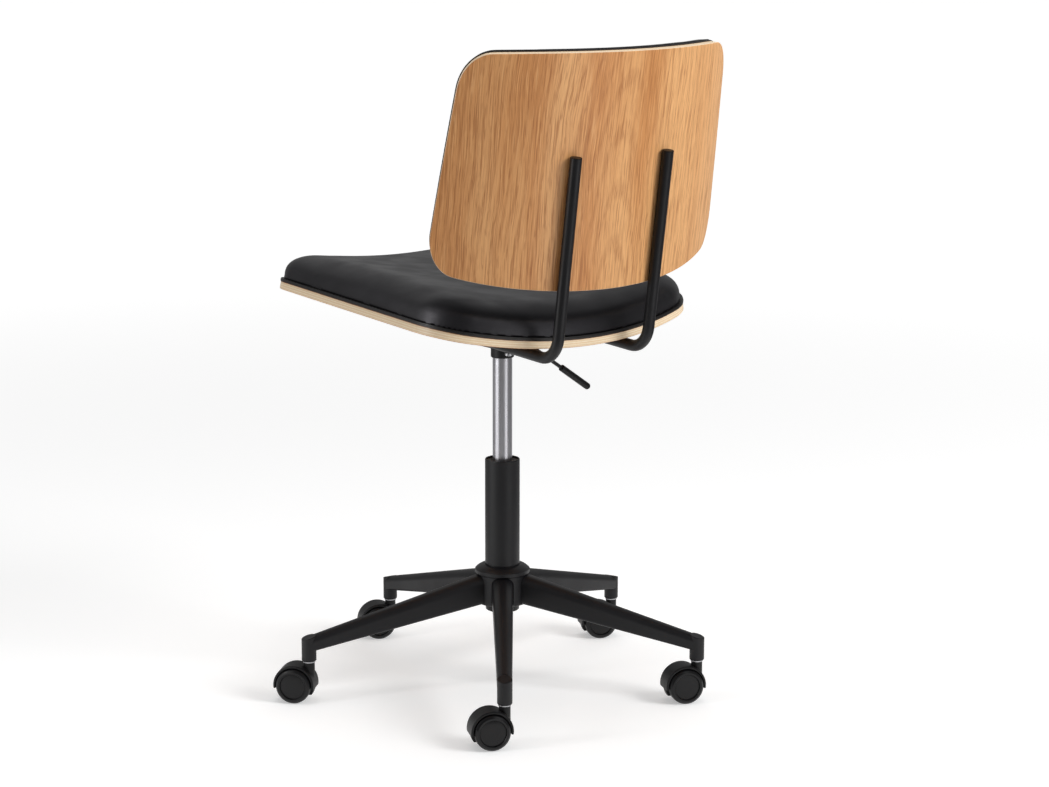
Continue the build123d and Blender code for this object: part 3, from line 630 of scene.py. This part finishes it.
def inflate(piece, pressure, cap):
    """Swell a pad with cloth under pressure; its points move out by cap at most."""
    start = places(piece.data)
    outward = np.array([v.normal for v in piece.data.vertices])
    cloth = piece.modifiers.new("cloth", "CLOTH")
    settings = cloth.settings
    for setting, value in CLOTH.items():
        setattr(settings, setting, value)
    settings.uniform_pressure_force = pressure
    settings.effector_weights.gravity = 0
    cloth.collision_settings.use_collision = False
    cloth.point_cache.frame_start = 1
    cloth.point_cache.frame_end = CLOTH_FRAMES
    scene = bpy.context.scene
    for number in range(1, CLOTH_FRAMES + 1):
        scene.frame_set(number)
    apply_modifiers(piece)
    scene.frame_set(1)
    swell = np.sum((places(piece.data) - start) * outward, axis=1)
    swell = evened(cap * np.tanh(np.maximum(swell, 0) / cap), piece.data, SWELL_EVENING)
    piece.data.vertices.foreach_set("co", (start + outward * swell[:, None]).ravel())


def cushion(node, name, shell, roll):
    """Upholstered pad swollen from its plain solid, flat on its board."""
    piece = copy_of(node, name)
    hold(piece, shell, *lay_out(piece, shell, roll))
    inflate(piece, PAD_PRESSURE, PAD_SWELL)
    taut = piece.modifiers.new("taut", "SMOOTH")
    taut.iterations = COVER_EVENING
    taut.vertex_group = "held"
    taut.invert_vertex_group = True
    rounding = piece.modifiers.new("rounding", "SUBSURF")
    rounding.levels = 1
    rounding.render_levels = 1
    apply_modifiers(piece)
    piece.data.polygons.foreach_set("use_smooth", [True] * len(piece.data.polygons))
    piece.data.materials.clear()
    piece.data.materials.append(LOOKS["black_leather"])
    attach(piece, "seat")
    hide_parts(node)


def rim_of(node, shell, height):
    """Ordered outline of one face of a bent board, read from its solid."""
    work = bmesh.new()
    work.from_mesh(NODES[node].data)
    bmesh.ops.remove_doubles(work, verts=work.verts, dist=JOINED)
    close = {v for v in work.verts if abs(shell.height(v.co) - height) < ON_FACE}
    sharp = [e for e in work.edges if e.verts[0] in close and e.verts[1] in close
             and len(e.link_faces) == 2 and e.calc_face_angle() > SHARP]
    joined = {}
    for e in sharp:
        a, b = e.verts
        joined.setdefault(a, []).append(b)
        joined.setdefault(b, []).append(a)
    first = max(joined, key=lambda v: (v.co.y, v.co.x))
    ring, before, here = [first], None, first
    while True:
        step = [v for v in joined[here] if v is not before]
        if not step or step[0] is first:
            break
        before, here = here, step[0]
        ring.append(here)
    points = [v.co.copy() for v in ring]
    work.free()
    return points


def binding(name, node, shell, top, lip, look):
    """Rounded edge of an upholstered board, along its outline."""
    rim = rim_of(node, shell, top)
    count = len(rim)
    curve = bpy.data.curves.new(name, "CURVE")
    curve.dimensions = "3D"
    curve.bevel_depth = lip / 2
    curve.bevel_resolution = 4
    spline = curve.splines.new("POLY")
    spline.points.add(count - 1)
    spline.use_cyclic_u = True
    middle = sum(rim, Vector()) / count
    for k, p in enumerate(rim):
        run = (rim[(k + 1) % count] - rim[k - 1]).normalized()
        up = shell.up(p)
        inward = up.cross(run).normalized()
        if inward.dot(middle - p) < 0:
            inward = -inward
        spot = p - up * (lip / 2) + inward * (lip / 2 - BINDING_OUT)
        spline.points[k].co = (*spot, 1)
    shape = bpy.data.objects.new(name + "_path", curve)
    bpy.context.collection.objects.link(shape)
    graph = bpy.context.evaluated_depsgraph_get()
    mesh = bpy.data.meshes.new_from_object(shape.evaluated_get(graph))
    bpy.data.objects.remove(shape)
    piece = bpy.data.objects.new(name, mesh)
    bpy.context.collection.objects.link(piece)
    mesh.polygons.foreach_set("use_smooth", [True] * len(mesh.polygons))
    mesh.materials.clear()
    mesh.materials.append(LOOKS[look])
    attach(piece, "seat")


# Studio

def rays_to_the_room(graph):
    """1 for what the camera sees, straight or in a reflection, and 0 for light on matt surfaces."""
    seen = graph.add("ShaderNodeLightPath").outputs
    rays = graph.math("ADD", seen["Is Camera Ray"], seen["Is Glossy Ray"])
    return graph.math("ADD", rays, seen["Is Transmission Ray"], clamp=True)


def floor_material():
    """Pale paper floor that shows as white where no shadow falls."""
    material, graph, principled, place = new_material(
        "floor_paper", Base_Color=(0.78, 0.78, 0.78, 1), Roughness=0.9, Specular_IOR_Level=0.0)
    away = graph.add("ShaderNodeVectorMath", operation="LENGTH")
    graph.put(place, away.inputs[0])
    lift = graph.spread(away.outputs["Value"], FLOOR_NEAR, FLOOR_FAR, FLOOR_LIFT, FAR_LIFT)
    principled.inputs["Emission Color"].default_value = (1, 1, 1, 1)
    graph.put(graph.math("MULTIPLY", rays_to_the_room(graph), lift),
              principled.inputs["Emission Strength"])
    return material


def studio_floor():
    """Wide floor that the far white runs into."""
    bpy.ops.mesh.primitive_plane_add(size=FLOOR_SIZE)
    floor = bpy.context.object
    floor.name = "studio_floor"
    floor.data.materials.append(floor_material())


def bearing(degrees, distance, height):
    """Place in the studio; bearings count from the camera, to the right as it looks."""
    turn = math.atan2(CAMERA_AT.x, CAMERA_AT.y) - math.radians(degrees)
    return Vector((math.sin(turn) * distance, math.cos(turn) * distance, height))


def studio_world():
    """White room, with less light on matt surfaces from the camera's side."""
    world = bpy.data.worlds.new("studio_room")
    bpy.context.scene.world = world
    world.use_nodes = True
    graph = Graph(world.node_tree)
    back = next(n for n in graph.nodes if n.type == "BACKGROUND")
    side = graph.add("ShaderNodeVectorMath", operation="DOT_PRODUCT")
    graph.put(graph.add("ShaderNodeTexCoord").outputs["Generated"], side.inputs[0])
    side.inputs[1].default_value = bearing(DARK_SIDE, 1, 0)
    room = graph.spread(side.outputs["Value"], -1.0, 1.0, ROOM_BRIGHT, ROOM_DARK)
    rays = rays_to_the_room(graph)
    rest = graph.math("MULTIPLY", graph.math("SUBTRACT", 1.0, rays), room)
    back.inputs["Color"].default_value = (1, 1, 1, 1)
    graph.put(graph.math("ADD", rays, rest), back.inputs["Strength"])


def reflected_card(name, corners, faces, tone):
    """Grey card that shows in reflections only."""
    card = bpy.data.meshes.new(name)
    card.from_pydata(corners, [], faces)
    material, _, _, _ = new_material(name, Base_Color=(0, 0, 0, 1), Specular_IOR_Level=0.0,
                                     Emission_Color=(1, 1, 1, 1), Emission_Strength=tone)
    card.materials.append(material)
    piece = bpy.data.objects.new(name, card)
    bpy.context.collection.objects.link(piece)
    piece.visible_camera = piece.visible_diffuse = piece.visible_shadow = False


def standing_card(name, start, end, tone, steps=8):
    """Card round the chair between two bearings."""
    turns = [start + (end - start) * k / steps for k in range(steps + 1)]
    corners = [bearing(turn, CARD_AWAY, high) for turn in turns for high in (CARD_LOW, CARD_HIGH)]
    faces = [(2 * k, 2 * k + 2, 2 * k + 3, 2 * k + 1) for k in range(steps)]
    reflected_card(name, corners, faces, tone)


def roof_card(name, steps=24):
    """Card over the chair, closing the ring of standing ones."""
    corners = [bearing(360 * k / steps, CARD_AWAY, CARD_HIGH) for k in range(steps)]
    reflected_card(name, corners, [range(steps)], ROOF_TONE)


def softbox(name, place, wide, high, watts):
    """Soft lamp turned to the chair."""
    light = bpy.data.lights.new(name, "AREA")
    light.shape = "RECTANGLE"
    light.size, light.size_y = wide, high
    light.energy = watts
    lamp = bpy.data.objects.new(name, light)
    lamp.location = place
    lamp.rotation_euler = (LIT - place).to_track_quat("-Z", "Y").to_euler()
    bpy.context.collection.objects.link(lamp)
    return lamp


def photo_camera():
    """Camera that frames the chair as the photograph does."""
    data = bpy.data.cameras.new("photo_camera")
    data.sensor_width = SENSOR
    data.lens = FOCAL_PX / PHOTO_W * SENSOR
    data.shift_x = (PHOTO_W / 2 - CENTRE_PX[0]) / PHOTO_W
    data.shift_y = (CENTRE_PX[1] - PHOTO_H / 2) / PHOTO_W
    data.clip_end = CAMERA_REACH
    camera = bpy.data.objects.new("photo_camera", data)
    camera.location = CAMERA_AT
    camera.rotation_euler = (AIM_AT - CAMERA_AT).to_track_quat("-Z", "Y").to_euler()
    bpy.context.collection.objects.link(camera)
    bpy.context.scene.camera = camera


def studio():
    """Floor, room, cards, lamps and camera."""
    bpy.context.scene.view_settings.view_transform = "Standard"
    studio_floor()
    studio_world()
    for card in CARDS:
        standing_card(*card)
    roof_card("card_over")
    softbox("key_light", bearing(64, 3.0, 2.2), 1.4, 1.4, 72).visible_glossy = False
    softbox("strip_light", bearing(-67, 2.6, 1.1), 0.4, 1.8, 17)
    softbox("top_light", Vector((0, -0.3, 3.0)), 2.0, 2.0, 24).visible_glossy = False
    photo_camera()


dress_nodes()
cushion("seat_cushion", "seat_upholstery", SEAT, SEAT_ROLL)
cushion("back_cushion", "back_upholstery", BACK, BACK_ROLL)
binding("seat_binding", "seat_board", SEAT, SEAT_PLY + SEAT_LIP, SEAT_LIP, "dark_board")
binding("back_binding", "back_board", BACK, BACK_PLY + BACK_LIP, BACK_LIP, "dark_board")
studio()
